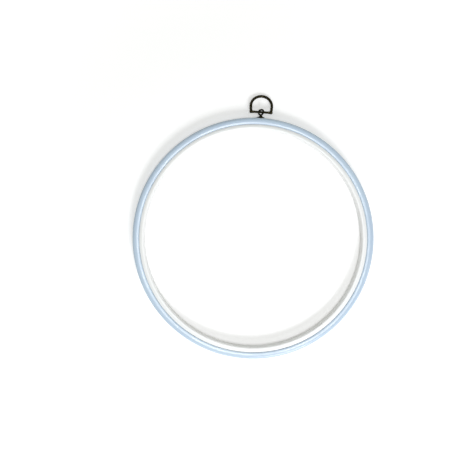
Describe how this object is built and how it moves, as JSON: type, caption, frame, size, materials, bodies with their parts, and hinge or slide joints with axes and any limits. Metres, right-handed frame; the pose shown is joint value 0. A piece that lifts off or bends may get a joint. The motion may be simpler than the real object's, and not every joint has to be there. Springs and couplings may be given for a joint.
{
  "type": "embroidery hoop",
  "caption": "Round flexible embroidery hoop: a rigid white inner ring, a stretchy light blue outer ring that snaps over it, and a pinned hanger with a swinging D-shaped ring.",
  "frame": {"origin": "centre of the rings, on their axis at mid-height", "axes": "+Z along the rings' axis, towards the crowned face; +Y from the centre towards the hanger; +X completes the right-handed set. The hoop lies on its back."},
  "size_m": [0.2156, 0.2376, 0.01],
  "materials": {
    "white_plastic": "moulded white plastic with a soft gloss",
    "blue_vinyl": "smooth light blue vinyl with a soft gloss",
    "antique_bronze": "cast brass with a nearly black antique bronze finish",
    "bronze_wire": "drawn brass wire with a nearly black antique bronze finish"
  },
  "bodies": {
    "rigid_ring": {"inner_ring": "white_plastic"},
    "stretch_ring": {"outer_ring": "blue_vinyl", "ferrule": "antique_bronze"},
    "pin": {"eye_pin": "bronze_wire"},
    "hanging_ring": {"hanger_ring": "antique_bronze"}
  },
  "joints": [
    {"name": "outer_ring_lift", "type": "slide", "parent": "rigid_ring", "child": "stretch_ring", "axis": [0, 0, 1], "range_m": [0, 0.014]},
    {"name": "pin_turn", "type": "hinge", "parent": "stretch_ring", "child": "pin", "pos_m": [0, 0.105, 0], "axis": [0, 1, 0], "continuous": true},
    {"name": "hanger_swing", "type": "hinge", "parent": "pin", "child": "hanging_ring", "pos_m": [0, 0.1134, 0], "axis": [1, 0, 0], "range_deg": [-91, 118]}
  ]
}
